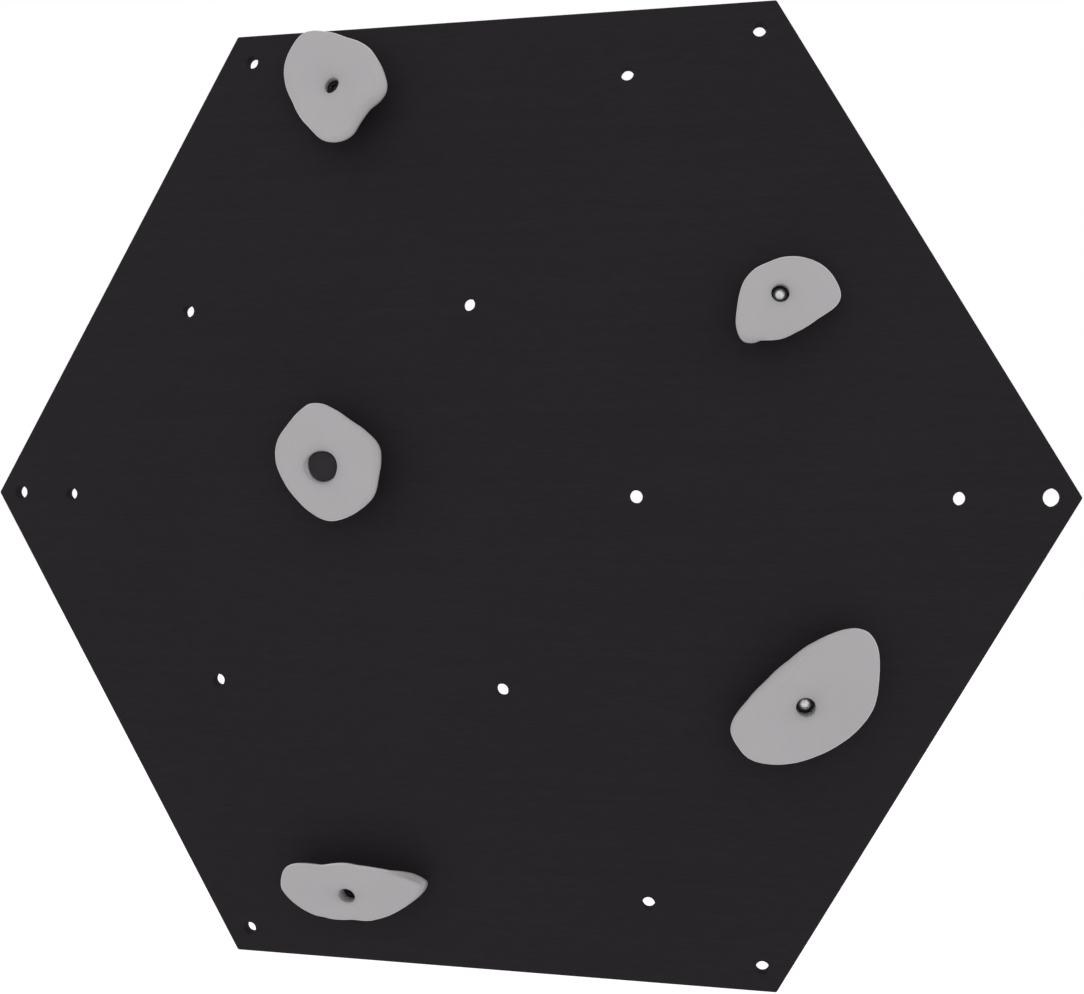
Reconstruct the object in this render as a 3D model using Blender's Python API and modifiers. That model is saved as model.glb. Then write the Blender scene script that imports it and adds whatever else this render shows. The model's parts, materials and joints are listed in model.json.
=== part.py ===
"""Hexagonal climbing wall panel: a black board drilled with a grid of holes, and five bolt-on holds.

The board stands upright and its front faces -Y. Everything is placed in the wall's own frame, an empty whose
X runs to the right, Y up, and Z straight out of the wall, with its origin at the centre of the back face.
"""

import math

import bmesh
import bpy
from mathutils import Matrix, Vector

MM = 0.001

# Board
BOARD_RADIUS = 600 * MM  # centre to corner of the regular hexagon
BOARD_THICKNESS = 12 * MM
BOARD_EDGE_ROUND = 1.2 * MM
GRID_PITCH = 330 * MM
# Each row of the grid: its height, its first hole, and how many holes it has
GRID_ROWS = (
    (451.5 * MM, -186.6 * MM, 2),
    (208.8 * MM, -360.5 * MM, 3),
    (-1.5 * MM, -507.0 * MM, 4),
    (-213.3 * MM, -323.2 * MM, 3),
    (-435.5 * MM, -163.8 * MM, 2),
)
GRID_HOLE_RADIUS = 7 * MM
# Each corner's direction from the centre in degrees, its hole's distance from there, and the hole's radius
CORNER_HOLES = (
    (120, 565.4 * MM, 7.0 * MM),
    (60, 565.2 * MM, 7.0 * MM),
    (0, 571.5 * MM, 9.4 * MM),
    (-60, 571.2 * MM, 7.0 * MM),
    (-120, 570.6 * MM, 7.0 * MM),
    (180, 571.9 * MM, 7.7 * MM),
)

# Fixings: an M10 socket bolt, its washer and a T-nut let into the back
GAP = 0.3 * MM  # clearance between pieces that touch
BOLT_RADIUS = 4.7 * MM
BOLT_LENGTH = 20 * MM
HEAD_RADIUS = 8 * MM
HEAD_HEIGHT = 10 * MM
HEAD_CHAMFER = 0.8 * MM
SOCKET_ACROSS_FLATS = 8 * MM
SOCKET_DEPTH = 5 * MM
WASHER_RADIUS = 9 * MM
WASHER_HOLE_RADIUS = 5.3 * MM
WASHER_THICKNESS = 1.6 * MM
FLANGE_RADIUS = 18.5 * MM
FLANGE_THICKNESS = 2 * MM
BARREL_RADIUS = 6.4 * MM
BARREL_LENGTH = 8 * MM
BARREL_BORE_RADIUS = 5.05 * MM
RECESS_RADIUS = 19.5 * MM
RECESS_DEPTH = 3 * MM
SCREW_CIRCLE_RADIUS = 12.6 * MM
SCREWS_PER_TNUT = 3
SCREW_HEAD_RADIUS = 3.1 * MM
SCREW_HEAD_HEIGHT = 1.5 * MM
SCREW_RADIUS = 1.5 * MM
SCREW_LENGTH = 8 * MM

# Holds
HOLD_SIDES = 36
SEAT_HEIGHT = 6 * MM  # material between the washer and the board
BOLT_CLEARANCE_RADIUS = 5.8 * MM
EDGE_ROUND = 3.5 * MM  # where the edge is sharpest
MOUTH_ROUND = 0.6 * MM
DIMPLE_DEPTH = 3.2 * MM  # of the hollow that the face falls into round its bore
DIMPLE_REACH = 7 * MM
TIP_REACH = 24 * MM  # how far the extra slope at a bore carries
CROWN = 2 * MM  # how far the face falls away towards its edge
BEVEL_SHARPNESS = 80  # how quickly a bevelled stretch of edge ends on either side
CAP_RADIUS = 16.1 * MM
CAP_THICKNESS = 3 * MM
CAP_DEPTH = 5 * MM  # below the mouth of its recess

# The undercut side of a hold, from its foot up: share of the side's height, share of the undercut
FLANK = ((0.0, 1.0), (0.3, 0.76), (0.7, 0.25))
EDGE_TURNS = (25, 45, 67, 90)  # degrees round the edge, from the crisp rim of the side to the face
FACE_STEPS = (0.6, 0.28, 0.1)  # shares of the way from the bore's lip to the edge

# Each hold: the grid seat that it covers (row, place), how far its bolt is from that seat, its height at the
# bolt, how much higher it gets per metre and in which direction, how much steeper it is right at its bore,
# how far its side leans out over its foot all round as a share of its height, how much more it leans out
# towards one side and which side that is, how much wider its edge is rounded at its softest and which side
# that is, where a short stretch of its edge is bevelled and how far that reaches inwards and down, its bore,
# and its outline about the bolt in millimetres
HOLDS = {
    "hold_top_left": dict(
        seat=(0, 0),
        shift=(8.9 * MM, -3.4 * MM),
        height=31 * MM,
        rise=0.22,
        rises_towards=-35,
        steeper=0.34,
        lean=0.32,
        more_lean=0.26,
        leans_most=-45,
        softer=2.9,
        softest=-30,
        bevel=(0, 0, 0),
        bore_radius=9.3 * MM,
        outline=(
            (61.2, 9.7), (54, 23.7), (44.1, 37), (29.6, 47.1), (14, 53.9), (-9.4, 63.4), (-25.7, 66.8),
            (-40.9, 64.6), (-54.5, 49), (-61.2, 28.4), (-58.1, 7.2), (-46.7, -17), (-28.5, -42.6),
            (-7.6, -61.5), (12.1, -64.5), (26.6, -58.2), (36, -43.8), (45.6, -31.4), (58.8, -21.4),
            (65.6, -10.2),
        ),
    ),
    "hold_upper_right": dict(
        seat=(1, 2),
        shift=(2.9 * MM, -0.5 * MM),
        height=33 * MM,
        rise=0.16,
        rises_towards=215,
        steeper=0.0,
        lean=0.22,
        more_lean=0.10,
        leans_most=245,
        softer=0.3,
        softest=215,
        bevel=(238, 3.5 * MM, 6 * MM),
        bore_radius=9.3 * MM,
        outline=(
            (55, 14.4), (44.1, 27.3), (24.6, 36.6), (8.8, 38.1), (-12.6, 32), (-25.7, 25.4), (-35, 15.4),
            (-41.1, 0.7), (-43.9, -14.5), (-44.4, -35.6), (-38.3, -49), (-26.8, -51.3), (-19.4, -49),
            (1, -47.3), (17.6, -39.8), (36.1, -28), (56.7, -12.4), (60.7, -2.9),
        ),
    ),
    "hold_middle_left": dict(
        seat=(2, 1),
        shift=(-9.6 * MM, 32.3 * MM),
        height=38 * MM,
        rise=0.12,
        rises_towards=10,
        steeper=0.0,
        lean=0.28,
        more_lean=0.18,
        leans_most=0,
        softer=2.7,
        softest=20,
        bevel=(0, 0, 0),
        bore_radius=17.6 * MM,
        outline=(
            (68.4, 4.8), (66.1, 22.5), (50.3, 39.4), (33.2, 50.9), (15, 62.6), (2.7, 68.3), (-13.1, 69),
            (-21.9, 64.5), (-40.5, 46.3), (-53.8, 27.8), (-55.7, 5.9), (-44.6, -19.3), (-32.4, -34.4),
            (-16.2, -48.9), (7.1, -59.1), (28, -55.8), (45.4, -46.5), (60.5, -32), (65.9, -11.8),
        ),
    ),
    "hold_lower_right": dict(
        seat=(3, 2),
        shift=(-9.3 * MM, 0.9 * MM),
        height=37 * MM,
        rise=0.14,
        rises_towards=125,
        steeper=0.0,
        lean=0.24,
        more_lean=0.12,
        leans_most=110,
        softer=3.0,
        softest=130,
        bevel=(0, 0, 0),
        bore_radius=10.0 * MM,
        outline=(
            (71.6, 30.1), (70.3, 62.1), (61.5, 77.6), (50, 82.1), (39.6, 81.3), (27.1, 77.5), (5.2, 66.1),
            (-20.2, 45.3), (-38.9, 27.2), (-56.6, 8.3), (-71.3, -10.9), (-75.6, -25), (-69, -41.2),
            (-55.9, -55.4), (-34, -60.6), (-13.3, -58.8), (10.8, -50.8), (31.7, -39.2), (50.8, -23),
            (66, -1),
        ),
    ),
    "hold_bottom_left": dict(
        seat=(4, 0),
        shift=(5.3 * MM, 0.4 * MM),
        height=37 * MM,
        rise=0.30,
        rises_towards=92,
        steeper=0.25,
        lean=0.15,
        more_lean=0.38,
        leans_most=82,
        softer=0.2,
        softest=18,
        bevel=(19, 0.5 * MM, 16 * MM),
        bore_radius=9.3 * MM,
        outline=(
            (83.5, 8.6), (88.2, 20.2), (80, 24.7), (71.4, 28.1), (57, 32.7), (50.1, 33.8), (27.6, 37.1),
            (11.4, 39.1), (-21.8, 36.4), (-53.5, 36), (-65.3, 30.7), (-72.5, 17.6), (-73, 1.2), (-57.4, -17),
            (-40, -26.7), (-25.8, -29.9), (1.6, -30.7), (25.2, -29.4), (47.8, -20.6), (66, -8.2),
        ),
    ),
}
CAPPED_HOLD = "hold_middle_left"
BRIGHT_BOLTS = ("hold_upper_right", "hold_lower_right")
BOLT_TURNS = (12, 47, 31, 5, 26)  # how far each bolt has been screwed round, in degrees
ROUND_SIDES = 24
TNUT_SIDES = 20
SCREW_SIDES = 8

parts = None
helpers = None
wall = None


def clear_scene():
    for thing in list(bpy.data.objects):
        bpy.data.objects.remove(thing, do_unlink=True)


def new_collection(name):
    collection = bpy.data.collections.new(name)
    bpy.context.scene.collection.children.link(collection)
    return collection


def material(name, colour, roughness, metallic=0.0):
    made = bpy.data.materials.new(name)
    made.use_nodes = True
    shader = made.node_tree.nodes["Principled BSDF"]
    shader.inputs["Base Color"].default_value = (*colour, 1.0)
    shader.inputs["Roughness"].default_value = roughness
    shader.inputs["Metallic"].default_value = metallic
    return made


def add_part(name, mesh, finish, place=(0.0, 0.0, 0.0), turn=0.0):
    """An object of the assembly, placed in the wall's frame: across, up and out of the wall."""
    part = bpy.data.objects.new(name, mesh)
    parts.objects.link(part)
    part.parent = wall
    part.location = place
    part.rotation_euler = (0.0, 0.0, turn)
    if not mesh.materials:
        mesh.materials.append(finish)
    mesh.shade_smooth()
    mesh.set_sharp_from_angle(angle=math.radians(35))
    return part


def add_cutter(name, mesh, place=(0.0, 0.0, 0.0), parent=None):
    cutter = bpy.data.objects.new(name, mesh)
    helpers.objects.link(cutter)
    cutter.parent = parent
    cutter.location = place
    cutter.hide_render = True
    cutter.display_type = "WIRE"
    return cutter


def cut(part, cutter):
    modifier = part.modifiers.new("cut " + cutter.name, "BOOLEAN")
    modifier.operation = "DIFFERENCE"
    modifier.object = cutter
    modifier.solver = "EXACT"


def turned_mesh(name, profile, sides):
    """A solid of revolution about Z from (radius, height) points that run down its outer side."""
    form = bmesh.new()
    points = [form.verts.new((radius, 0.0, height)) for radius, height in profile]
    closed = profile[0][0] > 0
    for first, second in zip(points, points[1:]):
        form.edges.new((first, second))
    if closed:
        form.edges.new((points[-1], points[0]))
    mesh = bpy.data.meshes.new(name + " profile")
    form.to_mesh(mesh)
    form.free()
    lathe = bpy.data.objects.new(name + " lathe", mesh)
    helpers.objects.link(lathe)
    screw = lathe.modifiers.new("turn", "SCREW")
    screw.axis = "Z"
    screw.angle = math.tau
    screw.steps = sides
    screw.render_steps = sides
    screw.use_merge_vertices = True
    screw.merge_threshold = 0.00001
    result = evaluated_mesh(lathe, name)
    bpy.data.objects.remove(lathe, do_unlink=True)
    return result


def evaluated_mesh(thing, name):
    bpy.context.view_layer.update()
    graph = bpy.context.evaluated_depsgraph_get()
    mesh = bpy.data.meshes.new_from_object(thing.evaluated_get(graph))
    mesh.name = name
    return mesh


def cylinder_mesh(name, radius, bottom, top, sides):
    """A closed cylinder or prism about Z."""
    form = bmesh.new()
    bmesh.ops.create_cone(
        form, cap_ends=True, segments=sides, radius1=radius, radius2=radius, depth=top - bottom
    )
    bmesh.ops.translate(form, verts=form.verts, vec=(0.0, 0.0, (top + bottom) / 2))
    mesh = bpy.data.meshes.new(name)
    form.to_mesh(mesh)
    form.free()
    return mesh


def grid_seat(row, place):
    height, first, _ = GRID_ROWS[row]
    return Vector((first + place * GRID_PITCH, height))


def bolt_spot(hold):
    """Where a hold's bolt goes through the board."""
    return grid_seat(*hold["seat"]) + Vector(hold["shift"])


def spare_spots():
    """The grid's holes that no hold covers."""
    taken = [hold["seat"] for hold in HOLDS.values()]
    return [
        grid_seat(row, place)
        for row, (_, _, count) in enumerate(GRID_ROWS)
        for place in range(count)
        if (row, place) not in taken
    ]


def corner_spots():
    spots = []
    for angle, distance, radius in CORNER_HOLES:
        direction = Vector((math.cos(math.radians(angle)), math.sin(math.radians(angle))))
        spots.append((direction * distance, radius))
    return spots


def screw_spots(spot):
    """The places of a T-nut's screws, on a circle round its bolt."""
    spots = []
    for number in range(SCREWS_PER_TNUT):
        angle = math.pi / 2 + number * math.tau / SCREWS_PER_TNUT
        spots.append(spot + SCREW_CIRCLE_RADIUS * Vector((math.cos(angle), math.sin(angle))))
    return spots


def make_board(finish):
    """A hexagonal board with rounded edges, drilled through and recessed behind each bolt."""
    form = bmesh.new()
    bmesh.ops.create_cone(
        form,
        cap_ends=True,
        segments=6,
        radius1=BOARD_RADIUS,
        radius2=BOARD_RADIUS,
        depth=BOARD_THICKNESS,
    )
    bmesh.ops.rotate(form, verts=form.verts, matrix=Matrix.Rotation(math.pi / 6, 3, "Z"))
    bmesh.ops.translate(form, verts=form.verts, vec=(0.0, 0.0, BOARD_THICKNESS / 2))
    mesh = bpy.data.meshes.new("board")
    form.to_mesh(mesh)
    form.free()
    board = add_part("board", mesh, finish)
    edges = board.modifiers.new("rounded edges", "BEVEL")
    edges.width = BOARD_EDGE_ROUND
    edges.segments = 2
    edges.limit_method = "ANGLE"

    bottom = -BOARD_THICKNESS
    top = 2 * BOARD_THICKNESS
    bolts = [bolt_spot(hold) for hold in HOLDS.values()]
    through = [(spot, GRID_HOLE_RADIUS) for spot in spare_spots() + bolts] + corner_spots()
    recesses = [(spot, RECESS_RADIUS) for spot in bolts]
    pilots = [(spot, SCREW_RADIUS + GAP) for bolt in bolts for spot in screw_spots(bolt)]
    pilot_end = RECESS_DEPTH - GAP - FLANGE_THICKNESS + SCREW_LENGTH + 2 * GAP
    cut(board, add_cutter("recesses", drilled(recesses, bottom, RECESS_DEPTH, ROUND_SIDES), parent=wall))
    cut(board, add_cutter("through holes", drilled(through, bottom, top, ROUND_SIDES), parent=wall))
    cut(board, add_cutter("pilot holes", drilled(pilots, bottom, pilot_end, SCREW_SIDES), parent=wall))
    return board


def drilled(holes, bottom, top, sides):
    """The drill strokes of a set of holes, given by place and radius, as one mesh of separate cylinders."""
    form = bmesh.new()
    for spot, radius in holes:
        made = bmesh.ops.create_cone(
            form, cap_ends=True, segments=sides, radius1=radius, radius2=radius, depth=top - bottom
        )
        bmesh.ops.translate(form, verts=made["verts"], vec=(*spot, (top + bottom) / 2))
    mesh = bpy.data.meshes.new("drill strokes")
    form.to_mesh(mesh)
    form.free()
    return mesh


def smooth_radius(outline, angle):
    """The distance of a closed outline from the bolt in one direction, on a smooth curve through it.

    The curve is drawn in the reciprocal of the distance, which keeps straight stretches straight.
    """
    polar = sorted((math.atan2(y, x) % math.tau, math.hypot(x, y) * MM) for x, y in outline)
    count = len(polar)
    angle %= math.tau
    after = next((index for index, (turn, _) in enumerate(polar) if turn > angle), 0)
    around = [polar[(after + step) % count] for step in (-2, -1, 0, 1)]
    turns = [turn for turn, _ in around]
    for index in (1, 2, 3):
        while turns[index] < turns[index - 1]:
            turns[index] += math.tau
    while angle < turns[1] - 1e-9:
        angle += math.tau
    nearness = [1 / radius for _, radius in around]
    slope_before = (nearness[2] - nearness[0]) / (turns[2] - turns[0])
    slope_after = (nearness[3] - nearness[1]) / (turns[3] - turns[1])
    span = turns[2] - turns[1]
    share = (angle - turns[1]) / span
    cube = share**3
    square = share**2
    return 1 / (
        (2 * cube - 3 * square + 1) * nearness[1]
        + (cube - 2 * square + share) * span * slope_before
        + (3 * square - 2 * cube) * nearness[2]
        + (cube - square) * span * slope_after
    )


def face_height(hold, angle, radius):
    """How far the hold's face stands off the board: a tilted plane, crowned, with a dimple round the bore."""
    slope = hold["rise"] + hold["steeper"] * math.exp(-((radius / TIP_REACH) ** 2))
    rise = slope * radius * math.cos(angle - math.radians(hold["rises_towards"]))
    crown = CROWN * (radius / smooth_radius(hold["outline"], angle)) ** 2
    beyond = max(0.0, radius - hold["bore_radius"])
    dimple = DIMPLE_DEPTH * math.exp(-beyond / DIMPLE_REACH)
    return hold["height"] + rise - crown - dimple


def hold_rings(hold):
    """The rings of a hold's surface from its foot, over its face and down its bore.

    Each is a function from an angle about the bolt to a point.
    """
    bore = hold["bore_radius"]
    lip = bore + MOUTH_ROUND
    most = math.radians(hold["leans_most"])
    lean_over = hold["more_lean"] * Vector((math.cos(most), math.sin(most)))

    def point(angle, radius, height):
        return Vector((radius * math.cos(angle), radius * math.sin(angle), height))

    def edge_of(angle):
        """The hold's outline, the height of its face there, and how far its rounded edge reaches in and down."""
        reach = smooth_radius(hold["outline"], angle)
        softness = max(0.0, math.cos(angle - math.radians(hold["softest"]))) ** 2
        rounding = EDGE_ROUND * (1 + hold["softer"] * softness)
        direction, inwards, down = hold["bevel"]
        bevelled = max(0.0, math.cos(angle - math.radians(direction))) ** BEVEL_SHARPNESS
        top = face_height(hold, angle, reach)
        return reach, top, rounding + inwards * bevelled, rounding + down * bevelled

    def flank(share, undercut):
        def ring(angle):
            reach, top, _, down = edge_of(angle)
            side = top - down * (1 - math.sin(math.radians(EDGE_TURNS[0])))
            inward = undercut * side
            across, up = inward * lean_over
            return point(angle, reach - hold["lean"] * inward, share * side) - Vector((across, up, 0.0))

        return ring

    def edge(turn):
        def ring(angle):
            reach, top, inwards, down = edge_of(angle)
            inset = inwards * (math.cos(math.radians(EDGE_TURNS[0])) - math.cos(math.radians(turn)))
            drop = down * (1 - math.sin(math.radians(turn)))
            return point(angle, reach - inset, top - drop)

        return ring

    def face(step):
        def ring(angle):
            reach, _, inwards, _ = edge_of(angle)
            radius = lip + (reach - inwards - lip) * step
            return point(angle, radius, face_height(hold, angle, radius))

        return ring

    def mouth(radius, below):
        return lambda angle: point(angle, radius, face_height(hold, angle, radius) - below)

    def level(radius, height):
        return lambda angle: point(angle, radius, height)

    rings = [flank(share, undercut) for share, undercut in FLANK]
    rings += [edge(turn) for turn in EDGE_TURNS]
    rings += [face(step) for step in FACE_STEPS]
    rings += [mouth(lip, 0.0), mouth(bore, MOUTH_ROUND)]
    head_room = bore
    if bore > CAP_RADIUS:
        head_room = WASHER_RADIUS + 1 * MM
        rings += [level(CAP_RADIUS + GAP, cap_floor(hold)), level(head_room, cap_floor(hold))]
    rings += [level(head_room, SEAT_HEIGHT), level(BOLT_CLEARANCE_RADIUS, SEAT_HEIGHT)]
    rings.append(level(BOLT_CLEARANCE_RADIUS, 0.0))
    return rings


def cap_floor(hold):
    """The height of the ledge that a bolt cap rests on."""
    return hold["height"] - DIMPLE_DEPTH - CAP_DEPTH - CAP_THICKNESS - GAP


def loft_mesh(name, rings, sides):
    """A closed ring-shaped solid: one loop of edges extruded through every ring and bridged to its start."""
    form = bmesh.new()
    bmesh.ops.create_circle(form, segments=sides, radius=1.0)
    turn = form.verts.layers.float.new("turn")
    for vert in form.verts:
        vert[turn] = math.atan2(vert.co.y, vert.co.x)

    def place(loop, ring):
        for vert in {vert for edge in loop for vert in edge.verts}:
            vert.co = ring(vert[turn])

    first = loop = list(form.edges)
    place(loop, rings[0])
    for ring in rings[1:]:
        made = bmesh.ops.extrude_edge_only(form, edges=loop)["geom"]
        verts = {item for item in made if isinstance(item, bmesh.types.BMVert)}
        edges = [item for item in made if isinstance(item, bmesh.types.BMEdge)]
        loop = [edge for edge in edges if verts.issuperset(edge.verts)]
        place(loop, ring)
    bmesh.ops.bridge_loops(form, edges=first + loop)
    form.verts.layers.float.remove(turn)
    bmesh.ops.recalc_face_normals(form, faces=form.faces)
    mesh = bpy.data.meshes.new(name)
    form.to_mesh(mesh)
    form.free()
    return mesh


def make_holds(finish):
    for name, hold in HOLDS.items():
        mesh = loft_mesh(name, hold_rings(hold), HOLD_SIDES)
        add_part(name, mesh, finish, (*bolt_spot(hold), BOARD_THICKNESS + GAP))


def bolt_mesh():
    """A socket head bolt whose head rests at height 0, with its hexagonal socket cut."""
    profile = (
        (0.0, HEAD_HEIGHT),
        (HEAD_RADIUS - HEAD_CHAMFER, HEAD_HEIGHT),
        (HEAD_RADIUS, HEAD_HEIGHT - HEAD_CHAMFER),
        (HEAD_RADIUS, 0.0),
        (BOLT_RADIUS, 0.0),
        (BOLT_RADIUS, -BOLT_LENGTH + 1 * MM),
        (BOLT_RADIUS - 1 * MM, -BOLT_LENGTH),
        (0.0, -BOLT_LENGTH),
    )
    blank = bpy.data.objects.new("bolt blank", turned_mesh("bolt blank", profile, ROUND_SIDES))
    helpers.objects.link(blank)
    socket_radius = SOCKET_ACROSS_FLATS / 2 / math.cos(math.pi / 6)
    socket = cylinder_mesh("socket", socket_radius, HEAD_HEIGHT - SOCKET_DEPTH, 2 * HEAD_HEIGHT, 6)
    cutter = add_cutter("socket cutter", socket)
    cut(blank, cutter)
    mesh = evaluated_mesh(blank, "bolt")
    bpy.data.objects.remove(blank, do_unlink=True)
    bpy.data.objects.remove(cutter, do_unlink=True)
    return mesh


def washer_mesh():
    profile = (
        (WASHER_RADIUS, WASHER_THICKNESS),
        (WASHER_RADIUS, 0.0),
        (WASHER_HOLE_RADIUS, 0.0),
        (WASHER_HOLE_RADIUS, WASHER_THICKNESS),
    )
    return turned_mesh("washer", profile, ROUND_SIDES)


def tnut_mesh():
    """A round flange with a threaded barrel towards +Z, and countersunk holes for its screws."""
    profile = (
        (BARREL_BORE_RADIUS, FLANGE_THICKNESS + BARREL_LENGTH),
        (BARREL_RADIUS, FLANGE_THICKNESS + BARREL_LENGTH),
        (BARREL_RADIUS, FLANGE_THICKNESS),
        (FLANGE_RADIUS, FLANGE_THICKNESS),
        (FLANGE_RADIUS, 0.0),
        (BARREL_BORE_RADIUS, 0.0),
    )
    blank = bpy.data.objects.new("tnut blank", turned_mesh("tnut blank", profile, TNUT_SIDES))
    helpers.objects.link(blank)
    clearance = screw_profile(GAP)
    drill = turned_mesh("countersink", clearance, SCREW_SIDES)
    cutters = []
    for number, spot in enumerate(screw_spots(Vector((0.0, 0.0)))):
        cutters.append(add_cutter(f"countersink {number}", drill, (*spot, 0.0)))
        cut(blank, cutters[-1])
    mesh = evaluated_mesh(blank, "tnut")
    for thing in [blank] + cutters:
        bpy.data.objects.remove(thing, do_unlink=True)
    return mesh


def screw_profile(clearance):
    """A countersunk screw with its head flush at height 0 and its point towards +Z, made larger all round."""
    outer = SCREW_HEAD_RADIUS + clearance
    shank = SCREW_RADIUS + clearance
    start = 0.1 * MM - 4 * clearance
    return (
        (0.0, SCREW_LENGTH),
        (shank * 0.4, SCREW_LENGTH - 0.4 * MM),
        (shank, SCREW_LENGTH - 2 * MM),
        (shank, SCREW_HEAD_HEIGHT),
        (outer, 0.35 * MM),
        (outer, start),
        (0.0, start),
    )


def make_fixings(zinc, black_steel, black_plastic):
    """A bolt, a washer, a T-nut and its screws for each hold, and a cap over the bolt of one."""
    tnut = tnut_mesh()
    screw = turned_mesh("tnut_screw", screw_profile(0.0), SCREW_SIDES)
    flange_back = RECESS_DEPTH - GAP - FLANGE_THICKNESS
    washer_back = BOARD_THICKNESS + GAP + SEAT_HEIGHT + GAP
    head_back = washer_back + WASHER_THICKNESS + GAP
    pairs = {finish: (bolt_mesh(), washer_mesh()) for finish in (zinc, black_steel)}
    for (name, hold), turn in zip(HOLDS.items(), BOLT_TURNS):
        place_name = name.removeprefix("hold_")
        spot = bolt_spot(hold)
        finish = zinc if name in BRIGHT_BOLTS else black_steel
        bolt, washer = pairs[finish]
        add_part(f"bolt_{place_name}", bolt, finish, (*spot, head_back), math.radians(turn))
        add_part(f"washer_{place_name}", washer, finish, (*spot, washer_back))
        add_part(f"tnut_{place_name}", tnut, zinc, (*spot, flange_back))
        for number, screw_spot in enumerate(screw_spots(spot), 1):
            add_part(f"tnut_screw_{place_name}_{number}", screw, zinc, (*screw_spot, flange_back))
    capped = HOLDS[CAPPED_HOLD]
    cap_profile = (
        (0.0, CAP_THICKNESS),
        (CAP_RADIUS - 1 * MM, CAP_THICKNESS),
        (CAP_RADIUS, CAP_THICKNESS - 0.8 * MM),
        (CAP_RADIUS, 0.0),
        (0.0, 0.0),
    )
    cap = turned_mesh("bolt_cap", cap_profile, HOLD_SIDES)
    cap_back = BOARD_THICKNESS + GAP + cap_floor(capped) + GAP
    add_part("bolt_cap_middle_left", cap, black_plastic, (*bolt_spot(capped), cap_back))


def main():
    global parts, helpers, wall
    clear_scene()
    parts = new_collection("climbing wall panel")
    helpers = new_collection("cutters")
    wall = bpy.data.objects.new("wall_frame", None)
    wall.rotation_euler = (math.pi / 2, 0.0, 0.0)
    parts.objects.link(wall)
    board_black = material("board_black", (0.021, 0.019, 0.021), 0.55)
    resin_grey = material("resin_grey", (0.40, 0.39, 0.39), 0.8)
    zinc = material("zinc", (0.62, 0.62, 0.63), 0.35, 1.0)
    black_steel = material("black_steel", (0.03, 0.03, 0.03), 0.5, 0.6)
    black_plastic = material("black_plastic", (0.03, 0.028, 0.03), 0.6)
    make_board(board_black)
    make_holds(resin_grey)
    make_fixings(zinc, black_steel, black_plastic)


main()
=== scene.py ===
"""Dresses the climbing wall panel: its board, its five holds, and the fixings that carry them.

The panel stands upright and its front faces -Y, with the origin at the centre of its back face. Pieces are
shaped in the wall's own frame, where X runs to the right, Y up and Z straight out of the wall, and are turned
upright when they are finished.
"""

import json
import math
from collections import namedtuple
from functools import lru_cache

import bmesh
import bpy
from bpy.props import FloatProperty, FloatVectorProperty, IntProperty, PointerProperty
from mathutils import Matrix, Vector, noise


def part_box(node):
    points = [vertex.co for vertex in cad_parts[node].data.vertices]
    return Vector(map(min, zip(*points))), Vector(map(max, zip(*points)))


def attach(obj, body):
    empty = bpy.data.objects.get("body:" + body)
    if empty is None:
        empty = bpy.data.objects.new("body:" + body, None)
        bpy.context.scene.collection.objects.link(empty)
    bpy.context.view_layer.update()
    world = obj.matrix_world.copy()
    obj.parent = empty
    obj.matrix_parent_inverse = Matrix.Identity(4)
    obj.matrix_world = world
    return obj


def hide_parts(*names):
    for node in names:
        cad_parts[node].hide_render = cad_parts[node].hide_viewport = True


bl_info = {
    "name": "Climbing wall panel",
    "version": (1, 0, 0),
    "blender": (4, 5, 0),
    "location": "3D View > Sidebar > Wall Panel",
    "description": "Builds the finished pieces of a hexagonal climbing wall panel",
    "category": "Object",
}

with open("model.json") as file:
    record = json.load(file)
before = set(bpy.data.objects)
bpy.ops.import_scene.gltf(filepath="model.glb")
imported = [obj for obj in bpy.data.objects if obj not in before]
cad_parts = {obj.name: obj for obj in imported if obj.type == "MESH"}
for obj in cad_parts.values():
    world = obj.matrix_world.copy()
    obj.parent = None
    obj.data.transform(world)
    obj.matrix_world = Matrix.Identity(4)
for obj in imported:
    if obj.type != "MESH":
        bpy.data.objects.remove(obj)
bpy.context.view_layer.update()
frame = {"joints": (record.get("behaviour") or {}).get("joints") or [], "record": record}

MM = 0.001
UPRIGHT = Matrix.Rotation(math.pi / 2, 4, "X")
WALL_NORMAL = 0.7  # a face belongs to a wall if its normal leans out of the board less than this
SHARP_ANGLE = math.radians(40)  # edges that turn by more than this stay sharp

# How a rounded edge lies: on a disc or in a hole, and on an upper or a lower face; and its steps
OUTER, INNER = 1, -1
UPPER, LOWER = 1, -1
ROUND_STEPS = 3

# Where the record places things: each hold's bolt, and each open hole of the board
JOINTS = {joint["name"].removesuffix("_turn"): Vector(joint["pos_m"]) for joint in frame["joints"]}
BOLT_SPOTS = {name: Vector((place.x, place.z)) for name, place in JOINTS.items()}
OPENINGS = {opening["name"]: opening["box_m"] for opening in frame["record"]["physics"]["openings"]}

# Faces round each small turned piece or hole
SIDES = dict(pilot=16, screw_hole=32, screw=40, washer=64, tnut=72, cap=96)

# Board
BOARD_THICKNESS = -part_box("board")[0].y
BOARD_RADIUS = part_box("board")[1].z / math.cos(math.pi / 6)
BOARD_CORNER_ROUND = 1.4 * MM
BOARD_EDGE_ROUND = 1.2 * MM
SUPPORT = 0.5 * MM  # a narrow flat band round every rounded edge, which keeps the flat faces flat
GRID_HOLE_RADIUS = 7 * MM
CORNER_HOLE_RADII = {"corner_hole_right": 9.4 * MM, "corner_hole_left": 7.7 * MM}
RECESS_RADIUS = 19.5 * MM
RECESS_DEPTH = 3 * MM
PILOT_RADIUS = 1.8 * MM
PILOT_DEPTH = 9.6 * MM
PILOT_POINT = 0.4 * MM

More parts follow.
